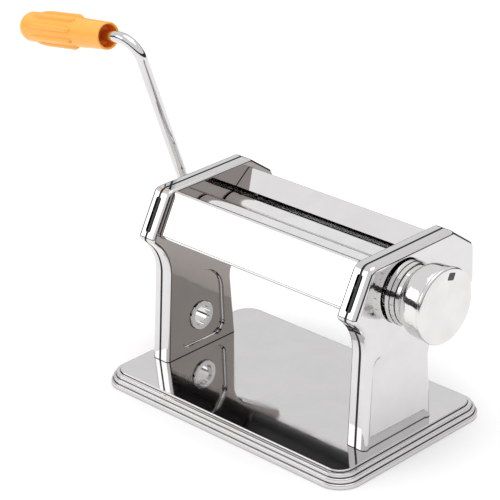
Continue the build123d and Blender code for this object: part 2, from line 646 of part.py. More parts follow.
def knob_spring():
    """Coil spring that draws the knob back on to the index pin."""
    f = OUTER_FACE
    height = KNOB_SEAT - KNOB_SHOULDER - 2 * SPRING_WIRE_R - 0.2
    path = Helix(height / SPRING_TURNS, height, SPRING_R)
    section = Plane(origin=path @ 0, z_dir=path % 0) * Circle(SPRING_WIRE_R)
    coil = sweep(section, path)
    return Pos(f + KNOB_SHOULDER + SPRING_WIRE_R + 0.1, *KNOB_AXIS) * Rot(0, 90, 0) * coil


def knob_washer():
    """Washer at the end of the shaft."""
    f = OUTER_FACE + KNOB_SEAT
    return ring_x(KNOB_HOLLOW_R - 1.4, KNOB_SCREW_R + 0.2, f, f + 1.0, KNOB_AXIS)


def knob_screw():
    """Slotted screw that holds the washer on the shaft."""
    f = OUTER_FACE + KNOB_SEAT
    head = fillet(cyl_x(3.4, f + 1.0, f + 3.2, KNOB_AXIS).faces().sort_by(Axis.X)[-1].edges(), 0.8)
    slot = Pos(f + 3.2, *KNOB_AXIS) * Box(1.6, 0.9, 8)
    return head + cyl_x(KNOB_SCREW_R, f - 8.5, f + 1.0, KNOB_AXIS) - slot


def index_pin():
    """Fixed pin in the right side which stands in the knob's slot."""
    pin = cyl_x(INDEX_PIN_R, PLATE_IN - 0.6, OUTER_FACE + FLANGE_FRONT - 0.9, INDEX_PIN)
    return chamfer(pin.faces().sort_by(Axis.X)[-1].edges(), 0.4)


def pin_eyelet():
    """Small rolled ring round the index pin on the outer face."""
    ring = ring_x(INDEX_PIN_R + 1.9, INDEX_PIN_R + FIT_CLEARANCE, OUTER_FACE, OUTER_FACE + 1.1, INDEX_PIN)
    return fillet(ring.faces().sort_by(Axis.X)[-1].edges().sort_by(SortBy.LENGTH)[-1], 0.6)


save(knob_body(), "knob_body")
save(knob_dial(), "knob_dial")
save(knob_cap(), "knob_cap")
save(mark_block(0, 1.25), "knob_mark")
save(knob_spring(), "knob_spring")
save(knob_washer(), "knob_washer")
save(knob_screw(), "knob_screw")
save(index_pin(), "index_pin")
save(pin_eyelet(), "index_pin_eyelet")

# ---------------------------------------------------------------- crank
lean = math.radians(CRANK_LEAN_DEG)
CRANK_PLANE = Plane(origin=(0, *REAR_AXIS), x_dir=(1, 0, 0), z_dir=(0, -math.cos(lean), -math.sin(lean)))


def grip_point(along):
    """A point on the grip axis in the crank's plane, at a distance from the corner of the arm."""
    droop = math.radians(GRIP_DROOP_DEG)
    return (CRANK_ARM_X - along * math.cos(droop), CRANK_LENGTH - along * math.sin(droop))


def grip_frame():
    """Frame whose Z runs along the grip from its mouth to its rounded end."""
    start = CRANK_PLANE.from_local_coords(Vector(*grip_point(GRIP_START)))
    end = CRANK_PLANE.from_local_coords(Vector(*grip_point(GRIP_START + GRIP_LENGTH)))
    return Plane(origin=start, x_dir=CRANK_PLANE.z_dir, z_dir=end - start)


def crank_rod():
    """Bent round rod: flatted end for the socket, arm, and a thinner tang that carries the grip."""
    insert = -OUTER_FACE - 1.0 + CRANK_INSERT
    tang_start = GRIP_START + GRIP_CUP_DEPTH - 1.0
    path = FilletPolyline((insert, 0), (CRANK_ARM_X, 0), (CRANK_ARM_X, CRANK_LENGTH), grip_point(tang_start),
                          radius=[HUB_BEND_R, TOP_BEND_R])
    path = CRANK_PLANE * path
    rod = sweep(Plane(origin=path @ 0, z_dir=path % 0) * Circle(CRANK_ROD_R), path)
    above_flat = Pos(*REAR_AXIS) * Pos(0, CRANK_FLAT + 5) * Rectangle(20, 10)
    flat_low = slab(above_flat, -OUTER_FACE - 1.6, insert + 1)
    frame = grip_frame()
    tang_low, tang_high = GRIP_CUP_DEPTH - 1.2, GRIP_LENGTH - GRIP_END_DEPTH - 0.2
    tang = frame * Pos(0, 0, tang_low) * Cylinder(TANG_R, tang_high - tang_low, align=UP)
    hole = frame * Pos(0, 0, tang_high - 9) * Cylinder(GRIP_SCREW_R + 0.03, 12, align=UP)
    return rod - flat_low + tang - hole


def grip():
    """Moulded handle with a cupped mouth, eight low ribs and a domed end."""
    def at(z, radius):
        return (radius, 0, z)

    length = GRIP_LENGTH
    bore = TANG_R + 0.1
    outer = [at(0, 0), at(0, GRIP_MOUTH_R), at(12, GRIP_MOUTH_R + 0.1), at(length * 0.6, GRIP_BODY_R),
             at(length, GRIP_BODY_R), at(length, 0)]
    body = revolve(make_face(Polyline(*outer, close=True)), Axis.Z)
    body = fillet(body.faces().sort_by(Axis.Z)[-1].edges(), 8.6)
    body = fillet(body.faces().sort_by(Axis.Z)[0].edges(), 0.8)
    rib_low, rib_high = length * 0.33, length * 0.84
    rib = Pos(0, 0, rib_low) * Box(GRIP_BODY_R + GRIP_RIB_HEIGHT, GRIP_RIB_WIDTH, rib_high - rib_low,
                                   align=(Align.MIN, Align.CENTER, Align.MIN))
    rib = fillet(rib.faces().sort_by(Axis.X)[-1].edges(), 1.2)
    ribs = [Rot(0, 0, 360 * k / GRIP_RIBS) * rib for k in range(GRIP_RIBS)]
    for piece in ribs:
        body += piece
    body -= Pos(0, 0, -1) * Cylinder(bore, length - GRIP_END_DEPTH + 1, align=UP)
    body -= Pos(0, 0, -1) * Cylinder(GRIP_CUP_R, GRIP_CUP_DEPTH + 1, align=UP)
    body -= Pos(0, 0, length - GRIP_END_DEPTH) * Cylinder(END_CAP_R + FIT_CLEARANCE, 20, align=UP)
    return grip_frame() * body


def grip_washer():
    """Washer on the end of the tang."""
    low = GRIP_LENGTH - GRIP_END_DEPTH - 0.1
    washer = Cylinder(END_CAP_R - 0.5, 1.0, align=UP) - Cylinder(GRIP_SCREW_R + 0.2, 1.0, align=UP)
    return grip_frame() * Pos(0, 0, low + 0.3) * washer


def grip_screw():
    """Screw in the end of the tang that keeps the grip on."""
    low = GRIP_LENGTH - GRIP_END_DEPTH + 1.2
    head = Pos(0, 0, low) * Cylinder(3.0, 2.2, align=UP) - Pos(0, 0, low + 2.2) * Box(8, 0.8, 1.6)
    shank = Pos(0, 0, low - 9.0) * Cylinder(GRIP_SCREW_R, 9.0, align=UP)
    return grip_frame() * (head + shank)


def grip_end_cap():
    """Plug that closes the screw's pocket in the domed end."""
    low = GRIP_LENGTH - 8.0
    plug = Pos(0, 0, low) * Cylinder(END_CAP_R, GRIP_LENGTH - low, align=UP)
    plug = fillet(plug.faces().sort_by(Axis.Z)[-1].edges(), 0.5)
    return grip_frame() * plug


save(crank_rod(), "crank_rod")
save(grip(), "crank_grip")
save(grip_washer(), "grip_washer")
save(grip_screw(), "grip_screw")
save(grip_end_cap(), "grip_end_cap")

# ---------------------------------------------------------------- rods and nuts


def rod(radius, centre):
    """Shouldered rod between the frame plates with threaded ends."""
    return cyl_x(radius, -PLATE_IN, PLATE_IN, centre) + cyl_x(ROD_THREAD_R, -ROD_END, ROD_END, centre)


def nut(centre):
    """Hexagon nut outside a frame plate."""
    body = hex_x(NUT_FLATS, PLATE_OUT, PLATE_OUT + NUT_HEIGHT, centre)
    return body - cyl_x(ROD_THREAD_R + FIT_CLEARANCE, PLATE_OUT - 1, ROD_END, centre)


nuts = [nut(c) for c in TIE_RODS + SCRAPER_RODS]
save([rod(ROD_R, c) for c in TIE_RODS], "tie_rods")
save([rod(SCRAPER_ROD_R, c) for c in SCRAPER_RODS], "scraper_rods")
save(nuts + [mirrored(n) for n in nuts], "rod_nuts")


# ---------------------------------------------------------------- covers and scrapers
def strip(points, sheet, bend_r, low, high):
    """A folded sheet: a line of (y, z) given a thickness, run along X."""
    line = FilletPolyline(*points, radius=bend_r) if len(points) > 2 else Line(*points)
    band = make_hull(trace(line, sheet).edges()) if len(points) == 2 else trace(line, sheet)
    return slab(band, low, high)


def cover(points, ends, holes):
    """A folded cover with an ear at each end that sits on the tie rods."""
    half = INNER_FACE - COVER_END_GAP
    skin = strip(points, COVER_SHEET, COVER_BEND_R, -half, half)
    ear_face = make_face(Polyline(*ends, close=True))
    for side in (-1, 1):
        low = half - COVER_SHEET if side > 0 else -half
        skin += slab(ear_face, low, low + COVER_SHEET)
    for centre in holes:
        skin -= cyl_x(ROD_R + FIT_CLEARANCE, -half - 1, half + 1, centre)
    return skin


save(cover(FRONT_COVER, FRONT_EAR, TIE_RODS[:1]), "front_cover")
save(cover(REAR_COVER, REAR_EAR, TIE_RODS[1:]), "rear_cover")


def scraper(rod_centre, roller_centre, clearance):
    """Thin blade clipped round a rod, its edge close under a roller."""
    reach = ROLLER_R + clearance
    dy, dz = rod_centre[0] - roller_centre[0], rod_centre[1] - roller_centre[1]
    distance = math.hypot(dy, dz)
    base = math.atan2(dz, dy)
    touch = base + math.copysign(math.acos(min(1.0, reach / distance)), dy) * -1
    edge = (roller_centre[0] + reach * math.cos(touch), roller_centre[1] + reach * math.sin(touch))
    half = ROLLER_LENGTH / 2 - 1.0
    sleeve = ring_x(SCRAPER_ROD_R + SCRAPER_SHEET, SCRAPER_ROD_R + FIT_CLEARANCE, -half, half, rod_centre)
    blade = strip([edge, rod_centre], SCRAPER_SHEET, 0, -half, half)
    return sleeve + (blade - cyl_x(SCRAPER_ROD_R + FIT_CLEARANCE, -half - 1, half + 1, rod_centre))


save(scraper(SCRAPER_RODS[0], FRONT_AXIS, SCRAPER_GAP + 2 * ECCENTRICITY), "front_scraper")
save(scraper(SCRAPER_RODS[1], REAR_AXIS, SCRAPER_GAP), "rear_scraper")
print(len(written), "pieces")
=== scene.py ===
"""Finishes, fine parts and studio for a hand-cranked pasta roller machine.

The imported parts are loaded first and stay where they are. +X runs along the rollers towards
the thickness knob, -Y is the front and +Z is up, in metres.
"""

import json
import math

import bmesh
import bpy
from bpy.props import FloatProperty, FloatVectorProperty, IntProperty, PointerProperty
from mathutils import Matrix, Vector


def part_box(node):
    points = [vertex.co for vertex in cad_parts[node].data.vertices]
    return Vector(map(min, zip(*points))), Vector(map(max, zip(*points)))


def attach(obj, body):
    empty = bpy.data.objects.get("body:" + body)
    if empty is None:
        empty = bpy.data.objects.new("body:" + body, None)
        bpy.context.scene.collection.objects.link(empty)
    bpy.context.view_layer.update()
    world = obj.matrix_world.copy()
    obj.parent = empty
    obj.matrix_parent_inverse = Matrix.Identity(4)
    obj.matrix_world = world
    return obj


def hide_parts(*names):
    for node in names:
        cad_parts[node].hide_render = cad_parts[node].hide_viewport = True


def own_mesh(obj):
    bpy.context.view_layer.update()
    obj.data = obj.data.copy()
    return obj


bl_info = {
    "name": "Pasta roller machine",
    "version": (1, 0, 0),
    "blender": (4, 5, 0),
    "location": "3D View > Sidebar > Pasta machine",
    "description": "Finishes, fine parts and studio for a hand-cranked pasta roller machine",
    "category": "Object",
}

MM = 0.001
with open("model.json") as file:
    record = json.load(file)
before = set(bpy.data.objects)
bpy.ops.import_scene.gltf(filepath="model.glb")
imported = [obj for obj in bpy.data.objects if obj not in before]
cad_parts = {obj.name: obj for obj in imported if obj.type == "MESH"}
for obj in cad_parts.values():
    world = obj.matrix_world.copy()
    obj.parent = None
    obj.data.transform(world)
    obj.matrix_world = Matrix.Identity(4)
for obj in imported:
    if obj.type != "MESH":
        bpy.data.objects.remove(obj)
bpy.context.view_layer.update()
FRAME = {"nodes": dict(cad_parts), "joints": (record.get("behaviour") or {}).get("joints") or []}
JOINTS = {joint["name"]: joint for joint in FRAME["joints"]}
MATERIALS = {}


# ---------------------------------------------------------------- settings
class PastaMetal(bpy.types.PropertyGroup):
    """Finish of the metal parts."""

    chrome: FloatVectorProperty(
        name="Chrome", description="Colour of the plated sheet", subtype="COLOR",
        size=3, min=0, max=1, default=(0.70, 0.69, 0.69))
    cover: FloatVectorProperty(
        name="Cover chrome", description="Colour of the plated covers", subtype="COLOR",
        size=3, min=0, max=1, default=(0.85, 0.835, 0.845))
    # painted reflection: a darker brown chrome standing for the dark surroundings the inner flats reflect
    smoked: FloatVectorProperty(
        name="Chrome with painted dark reflection", description="Painted dark reflection on the faces that look at the rollers",
        subtype="COLOR", size=3, min=0, max=1, default=(0.33, 0.30, 0.285))
    chrome_roughness: FloatProperty(
        name="Chrome roughness", description="Blur of reflections in the plated sheet",
        subtype="FACTOR", min=0, max=1, default=0.045)
    waviness: FloatProperty(
        name="Sheet waviness", description="How much pressed sheet bends its reflections",
        subtype="FACTOR", min=0, max=1, default=0.16)
    roller: FloatVectorProperty(
        name="Roller steel", description="Colour of the ground rollers", subtype="COLOR",
        size=3, min=0, max=1, default=(0.90, 0.89, 0.89))
    knob: FloatVectorProperty(
        name="Knob metal", description="Colour of the thickness knob", subtype="COLOR",
        size=3, min=0, max=1, default=(0.76, 0.75, 0.745))


class PastaGrip(bpy.types.PropertyGroup):
    """Moulded handle of the crank."""

    colour: FloatVectorProperty(
        name="Grip colour", description="Colour of the moulded grip", subtype="COLOR",
        size=3, min=0, max=1, default=(0.955, 0.43, 0.055))
    # painted light: the mouth's redder colour stands for light glowing through the thin translucent
    # plastic
    cup_colour: FloatVectorProperty(
        name="Mouth painted glow", description="Redder mouth colour, painted light for light glowing through the thin plastic",
        subtype="COLOR", size=3, min=0, max=1, default=(1.0, 0.22, 0.02))
    ribs: IntProperty(
        name="Ribs", description="Number of ribs round the grip", min=3, max=16, default=8)
    rib_height: FloatProperty(
        name="Rib height", description="How far a rib stands out of the grip",
        unit="LENGTH", min=0.0, max=0.004, default=1.7 * MM)
    rib_width: FloatProperty(
        name="Rib width", description="Width of a rib at its foot",
        unit="LENGTH", min=0.001, max=0.008, default=4.2 * MM)


class PastaDial(bpy.types.PropertyGroup):
    """Numbers and ticks on the thickness dial."""

    settings: IntProperty(
        name="Settings", description="Number of thickness settings", min=2, max=12, default=9)
    digit_height: FloatProperty(
        name="Digit height", description="Height of the numbers round the dial",
        unit="LENGTH", min=0.0005, max=0.004, default=1.9 * MM)
    tick_length: FloatProperty(
        name="Tick length", description="Length of the lines between the numbers",
        unit="LENGTH", min=0.0003, max=0.003, default=0.9 * MM)


class PastaStudio(bpy.types.PropertyGroup):
    """Floor, light and camera."""

    floor: FloatVectorProperty(
        name="Floor", description="Colour of the floor", subtype="COLOR",
        size=3, min=0, max=1, default=(0.93, 0.93, 0.93))
    sky: FloatProperty(
        name="Surround", description="Brightness of the white surround", min=0, max=5, default=0.88)
    softbox: FloatProperty(
        name="Softbox", description="Power of the overhead light", unit="POWER",
        min=0, max=500, default=17.0)
    floor_light: FloatProperty(
        name="Floor light", description="Strength of the wide light on the floor",
        min=0, max=10, default=0.6)
    azimuth: FloatProperty(
        name="Azimuth", description="Camera's angle round the machine", unit="ROTATION",
        default=math.radians(45.29))
    elevation: FloatProperty(
        name="Elevation", description="Camera's height above the horizon", unit="ROTATION",
        default=math.radians(24.84))
    roll: FloatProperty(
        name="Roll", description="Camera's tilt about its own axis", unit="ROTATION",
        default=math.radians(-1.81))
    distance: FloatProperty(
        name="Distance", description="Camera's distance from the point it looks at",
        unit="LENGTH", default=1.40206)


# ---------------------------------------------------------------- materials
class Finish:
    """A material under construction, with short calls for the nodes used here."""

    def __init__(self, name):
        self.material = bpy.data.materials.new(name)
        self.material.use_nodes = True
        self.tree = self.material.node_tree
        self.shader = self.tree.nodes["Principled BSDF"]
        self.place = self.tree.nodes.new("ShaderNodeTexCoord").outputs["Object"]
        MATERIALS[name] = self.material

    def set(self, **values):
        """Uniform values on the shader's own sockets."""
        for key, value in values.items():
            socket = self.shader.inputs[key.replace("_", " ")]
            socket.default_value = (*value, 1.0) if len_or_none(value) == 3 else value
        return self

    def link(self, output, socket):
        self.tree.links.new(output, socket)

    def stretched(self, scale):
        """Object coordinates with their own scale on each axis."""
        mapping = self.tree.nodes.new("ShaderNodeMapping")
        mapping.inputs["Scale"].default_value = scale
        self.link(self.place, mapping.inputs["Vector"])
        return mapping.outputs["Vector"]

    def noise(self, scale, detail=3.0, vector=None, distortion=0.0):
        node = self.tree.nodes.new("ShaderNodeTexNoise")
        node.inputs["Scale"].default_value = scale
        node.inputs["Detail"].default_value = detail
        node.inputs["Distortion"].default_value = distortion
        self.link(vector or self.place, node.inputs["Vector"])
        return node.outputs["Fac"]

    def spread(self, value, low, high, at=(0.3, 0.7)):
        """value mapped from the band at to the range low..high."""
        node = self.tree.nodes.new("ShaderNodeMapRange")
        node.inputs["From Min"].default_value = at[0]
        node.inputs["From Max"].default_value = at[1]
        node.inputs["To Min"].default_value = low
        node.inputs["To Max"].default_value = high
        self.link(value, node.inputs["Value"])
        return node.outputs["Result"]

    def blend(self, factor, first, second):
        """Colour between two, by factor."""
        node = self.tree.nodes.new("ShaderNodeMix")
        node.data_type = "RGBA"
        self.link(factor, node.inputs["Factor"])
        for socket, value in (("A", first), ("B", second)):
            entry = [s for s in node.inputs if s.name == socket and s.type == "RGBA"][0]
            if isinstance(value, bpy.types.NodeSocket):
                self.link(value, entry)
            else:
                entry.default_value = (*value, 1.0)
        return [s for s in node.outputs if s.type == "RGBA"][0]

    def cavity(self, colour, dark, reach):
        """Painted shade: colour, sunk towards dark in narrow grooves and corners no wider than reach,
        where shade falls.
        """
        node = self.tree.nodes.new("ShaderNodeAmbientOcclusion")
        node.samples = 8
        node.inputs["Distance"].default_value = reach
        return self.blend(self.spread(node.outputs["AO"], 0.0, 1.0, (0.3, 0.72)), dark, colour)

    def bump(self, height, strength, depth, after=None):
        node = self.tree.nodes.new("ShaderNodeBump")
        node.inputs["Strength"].default_value = strength
        node.inputs["Distance"].default_value = depth
        self.link(height, node.inputs["Height"])
        if after is not None:
            self.link(after, node.inputs["Normal"])
        return node.outputs["Normal"]

    def use(self, colour=None, roughness=None, normal=None):
        """Links what varies over the surface and hands back the material."""
        for value, socket in ((colour, "Base Color"), (roughness, "Roughness"), (normal, "Normal")):
            if value is not None:
                self.link(value, self.shader.inputs[socket])
        return self.material


def len_or_none(value):
    return len(value) if hasattr(value, "__len__") else None


def tinted(colour, share):
    """A colour made darker or lighter by a share."""
    return tuple(min(1.0, channel * share) for channel in colour)


def plated_sheet(name, colour, roughness, waviness, wave_size):
    """Polished plated sheet: a faint swell from the press, wipe marks, hair scratches, and painted shade
    that darkens its narrow grooves and corners.
    """
    finish = Finish(name).set(Metallic=1.0)
    swell = finish.noise(1.0 / wave_size, 1.0)
    wipe = finish.noise(55.0, 4.0, distortion=0.6)
    hair = finish.noise(1.0, 5.0, finish.stretched((160.0, 2600.0, 900.0)))
    tone = finish.blend(finish.spread(wipe, 0.0, 1.0), colour, tinted(colour, 0.955))
    # painted shade: the tone sinks nearly to black in grooves and corners, standing in for shade
    tone = finish.cavity(tone, tinted(colour, 0.06), 2.2 * MM)
    rough = finish.spread(wipe, roughness * 0.7, roughness * 1.7)
    normal = finish.bump(swell, waviness, wave_size * 0.02)
    normal = finish.bump(hair, 0.05, 0.00002, normal)
    return finish.use(tone, rough, normal)


def ground_bar(name, colour, roughness, lines):
    """Turned or ground steel: fine rings across X, and a slight cloudiness."""
    finish = Finish(name).set(Metallic=1.0)
    rings = finish.noise(1.0, 6.0, finish.stretched((lines, 30.0, 30.0)))
    cloud = finish.noise(70.0, 3.0)
    tone = finish.blend(finish.spread(cloud, 0.0, 1.0), colour, tinted(colour, 0.9))
    rough = finish.spread(rings, roughness * 0.75, roughness * 1.4)
    return finish.use(tone, rough, finish.bump(rings, 0.12, 0.00004))


def cloudy_metal(name, colour, roughness, grain):
    """Plain satin metal of small parts: grainy, with slightly uneven tone."""
    finish = Finish(name).set(Metallic=1.0)
    speck = finish.noise(grain, 4.0)
    cloud = finish.noise(120.0, 3.0)
    tone = finish.blend(finish.spread(cloud, 0.0, 1.0), colour, tinted(colour, 0.82))
    rough = finish.spread(speck, roughness * 0.8, roughness * 1.3)
    return finish.use(tone, rough, finish.bump(speck, 0.12, 0.00003))


def moulded_plastic(name, colour, roughness, grain, shade=0.93):
    """Moulded plastic or rubber with a fine skin and faint flow marks."""
    finish = Finish(name).set(Metallic=0.0)
    skin = finish.noise(grain, 3.0)
    flow = finish.noise(1.0, 4.0, finish.stretched((22.0, 90.0, 90.0)), 0.4)
    tone = finish.blend(finish.spread(flow, 0.0, 1.0), colour, tinted(colour, shade))
    rough = finish.spread(skin, roughness * 0.85, roughness * 1.25)
    return finish.use(tone, rough, finish.bump(skin, 0.16, 0.00005))


# ---------------------------------------------------------------- mesh helpers
def dress(node, material, sharp=30.0):
    """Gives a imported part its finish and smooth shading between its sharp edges."""
    part = FRAME["nodes"][node]
    part.data.materials.clear()
    part.data.materials.append(material)
    part.data.polygons.foreach_set("use_smooth", [True] * len(part.data.polygons))
    weld = part.modifiers.new("Weld", "WELD")
    weld.merge_threshold = 1e-6
    split = part.modifiers.new("Sharp edges", "EDGE_SPLIT")
    split.split_angle = math.radians(sharp)
    even = part.modifiers.new("Even shading", "WEIGHTED_NORMAL")
    even.weight = 100
    return part


def line_inside(node, material, heart):
    """The bare back of a folded cover, coloured near black as painted shade for the dark inside of the
    head: its faces that look at the point heart inside the head.
    """
    part = FRAME["nodes"][node]
    part.data.materials.append(material)
    for face in part.data.polygons:
        inwards = (heart - face.center) * Vector((0, 1, 1))
        if abs(face.normal.x) < 0.5 and face.normal.dot(inwards) > 0:
            face.material_index = 1


def smoke_inner_face(node, material, towards_x):
    """The flat of an inner shell that looks across at the rollers, given a darker, browner chrome than its
    bright rim as a painted dark reflection.
    """
    part = FRAME["nodes"][node]
    part.data.materials.append(material)
    for face in part.data.polygons:
        if face.normal.x * towards_x > 0.9:
            face.material_index = 1


def piece(name, mesh, body, material=None):
    """A finished mesh as one of the machine's pieces."""
    made = bpy.data.objects.new(name, mesh)
    bpy.context.scene.collection.objects.link(made)
    if material is not None:
        mesh.materials.clear()
        mesh.materials.append(material)
    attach(made, body)
    return made


def lathe(profile, segments):
    """A closed solid of revolution about Z from (radius, z) points that start and end on the axis."""
    build = bmesh.new()
    rows = []
    for radius, z in profile:
        if radius < 1e-9:
            rows.append([build.verts.new((0, 0, z))])
        else:
            rows.append([build.verts.new((radius * math.cos(a), radius * math.sin(a), z))
                         for a in (math.tau * k / segments for k in range(segments))])
    for low, high in zip(rows, rows[1:]):
        for k in range(segments):
            j = (k + 1) % segments
            if len(low) == 1:
                build.faces.new((low[0], high[j], high[k]))
            elif len(high) == 1:
                build.faces.new((low[k], low[j], high[0]))
            else:
                build.faces.new((low[k], low[j], high[j], high[k]))
    bmesh.ops.recalc_face_normals(build, faces=build.faces)
    mesh = bpy.data.meshes.new("lathe")
    build.to_mesh(mesh)
    build.free()
    mesh.polygons.foreach_set("use_smooth", [True] * len(mesh.polygons))
    return mesh


def arc_points(centre, radius, start, end, steps):
    """Points of an arc in a profile, angles in degrees from +radius towards +z."""
    return [(centre[0] + radius * math.cos(math.radians(start + (end - start) * k / steps)),
             centre[1] + radius * math.sin(math.radians(start + (end - start) * k / steps)))
            for k in range(steps + 1)]


def evaluated_mesh(holder):
    """The mesh that an object's modifiers make, as plain data."""
    graph = bpy.context.evaluated_depsgraph_get()
    return bpy.data.meshes.new_from_object(holder.evaluated_get(graph), depsgraph=graph)


def copies_about_z(source, count, arc, start, material):
    """count copies of a mesh turned about Z through an arc, made by a node tree and returned as a mesh."""
    tree = bpy.data.node_groups.new("Copies about Z", "GeometryNodeTree")
    face = tree.interface
    face.new_socket("Geometry", in_out="OUTPUT", socket_type="NodeSocketGeometry")
    sockets = {}
    for name, kind in (("Pattern", "NodeSocketObject"), ("Count", "NodeSocketInt"),
                       ("Step", "NodeSocketFloat"), ("Start", "NodeSocketFloat"),
                       ("Finish", "NodeSocketMaterial")):
        sockets[name] = face.new_socket(name, in_out="INPUT", socket_type=kind).identifier
    add = tree.nodes.new
    join = tree.links.new
    given = add("NodeGroupInput")
    result = add("NodeGroupOutput")
    line = add("GeometryNodeMeshLine")
    line.inputs["Offset"].default_value = (0, 0, 0)
    join(given.outputs["Count"], line.inputs["Count"])
    pattern = add("GeometryNodeObjectInfo")
    join(given.outputs["Pattern"], pattern.inputs["Object"])
    index = add("GeometryNodeInputIndex")
    turn = add("ShaderNodeMath")
    turn.operation = "MULTIPLY_ADD"
    join(index.outputs[0], turn.inputs[0])
    join(given.outputs["Step"], turn.inputs[1])
    join(given.outputs["Start"], turn.inputs[2])
    angle = add("ShaderNodeCombineXYZ")
    join(turn.outputs[0], angle.inputs["Z"])
    place = add("GeometryNodeInstanceOnPoints")
    join(line.outputs["Mesh"], place.inputs["Points"])
    join(pattern.outputs["Geometry"], place.inputs["Instance"])
    join(angle.outputs[0], place.inputs["Rotation"])
    solid = add("GeometryNodeRealizeInstances")
    join(place.outputs["Instances"], solid.inputs["Geometry"])
    paint = add("GeometryNodeSetMaterial")
    join(solid.outputs["Geometry"], paint.inputs["Geometry"])
    join(given.outputs["Finish"], paint.inputs["Material"])
    join(paint.outputs["Geometry"], result.inputs[0])

    pattern_object = bpy.data.objects.new("pattern", source)
    holder = bpy.data.objects.new("copies", bpy.data.meshes.new("copies"))
    for item in (pattern_object, holder):
        bpy.context.scene.collection.objects.link(item)
    modifier = holder.modifiers.new("Copies", "NODES")
    modifier.node_group = tree
    modifier[sockets["Pattern"]] = pattern_object
    modifier[sockets["Count"]] = count
    modifier[sockets["Step"]] = arc / count
    modifier[sockets["Start"]] = start
    modifier[sockets["Finish"]] = material
    mesh = evaluated_mesh(holder)
    holder.modifiers.remove(modifier)
    for item in (holder, pattern_object):
        bpy.data.objects.remove(item)
    bpy.data.node_groups.remove(tree)
    return mesh


def merged(meshes, name):
    """Several meshes as one, each keeping its own material."""
    build = bmesh.new()
    whole = bpy.data.meshes.new(name)
    for mesh in meshes:
        first = len(build.faces)
        build.from_mesh(mesh)
        build.faces.ensure_lookup_table()
        offset = len(whole.materials)
        for material in mesh.materials:
            whole.materials.append(material)
        for face in build.faces[first:]:
            face.material_index += offset
    build.to_mesh(whole)
    build.free()
    return whole


# ---------------------------------------------------------------- places taken from the frame
def grip_matrix():
    """Frame of the grip: origin at its mouth, Z towards its domed end."""
    joint = JOINTS["grip_spin"]
    along = Vector(joint["axis"]).normalized()
    side = Vector((0, 0, 1)).cross(along).normalized()
    up = along.cross(side)
    return Matrix.Translation(joint["pos_m"]) @ Matrix((side, up, along)).transposed().to_4x4()


def knob_matrix():
    """Frame of the knob: origin on its axis, Z along +X, and angles that run from -Y towards -Z."""
    turn = Matrix(((0, -1, 0), (0, 0, -1), (1, 0, 0))).transposed()
    return Matrix.Translation(JOINTS["knob_turn"]["pos_m"]) @ turn.to_4x4()


# ---------------------------------------------------------------- operators
class PASTA_OT_sides(bpy.types.Operator):
    """Plated shells of both sides, the dark plate between them and the eyelets"""

    bl_idname = "pasta.sides"
    bl_label = "Sides"

    def execute(self, context):
        metal = context.scene.pasta_metal
        shell = plated_sheet(
            "Chromed shell", metal.chrome, metal.chrome_roughness, metal.waviness, 0.045)
        rolled = plated_sheet(
            "Chromed eyelet", metal.chrome, metal.chrome_roughness * 1.3, 0.05, 0.01)
        plate = moulded_plastic("Blackened plate", (0.012, 0.012, 0.013), 0.42, 900.0, 0.7)
        for node in ("left_inner_shell", "right_inner_shell", "left_outer_shell", "right_outer_shell"):
            dress(node, shell)
        # painted reflection: the inner flats that face the rollers get a darker brown chrome for what they
        # reflect
        smoked = plated_sheet(
            "Chrome with painted dark reflection", metal.smoked, metal.chrome_roughness, metal.waviness * 2.2, 0.03)
        smoke_inner_face("left_inner_shell", smoked, 1.0)
        smoke_inner_face("right_inner_shell", smoked, -1.0)
        for node in ("left_frame_plate", "right_frame_plate"):
            dress(node, plate)
        for node in ("clamp_eyelet", "index_pin_eyelet"):
            dress(node, rolled)
        return {"FINISHED"}


class PASTA_OT_base(bpy.types.Operator):
    """Stepped base tray with its rubber feet and screws"""

    bl_idname = "pasta.base"
    bl_label = "Base"

    def execute(self, context):
        metal = context.scene.pasta_metal
        dress("base_plate", plated_sheet(
            "Chromed tray", metal.chrome, metal.chrome_roughness, metal.waviness * 0.8, 0.06))
        dress("rubber_feet", moulded_plastic("Foot rubber", (0.022, 0.022, 0.022), 0.7, 700.0, 0.8))
        dress("base_screws", zinc())
        return {"FINISHED"}


def zinc():
    """Zinc plate of nuts and screws, made once."""
    return MATERIALS.get("Zinc plate") or cloudy_metal("Zinc plate", (0.62, 0.63, 0.64), 0.28, 1500.0)


class PASTA_OT_covers(bpy.types.Operator):
    """Folded covers, scrapers, rods and nuts between the sides"""

    bl_idname = "pasta.covers"
    bl_label = "Covers and rods"

    def execute(self, context):
        metal = context.scene.pasta_metal
        sheet = plated_sheet(
            "Chromed cover", metal.cover, metal.chrome_roughness * 0.9, metal.waviness * 0.5, 0.07)
        # bare back of the sheet, coloured near black as painted shade for the inside of the head
        inside = moulded_plastic("Bare cover back with painted shade", (0.020, 0.016, 0.015), 0.38, 260.0)
        nylon = moulded_plastic("Scraper nylon", (0.035, 0.035, 0.037), 0.5, 500.0)
        bar = ground_bar("Rod steel", (0.62, 0.62, 0.63), 0.25, 1800.0)
        for node, heart in (("front_cover", Vector((0, 0.013, 0.1))),
                            ("rear_cover", Vector((0, 0.052, 0.105)))):
            dress(node, sheet)
            line_inside(node, inside, heart)
        for node in ("front_scraper", "rear_scraper"):
            dress(node, nylon)
        for node in ("tie_rods", "scraper_rods"):
            dress(node, bar)
        dress("rod_nuts", zinc())
        return {"FINISHED"}


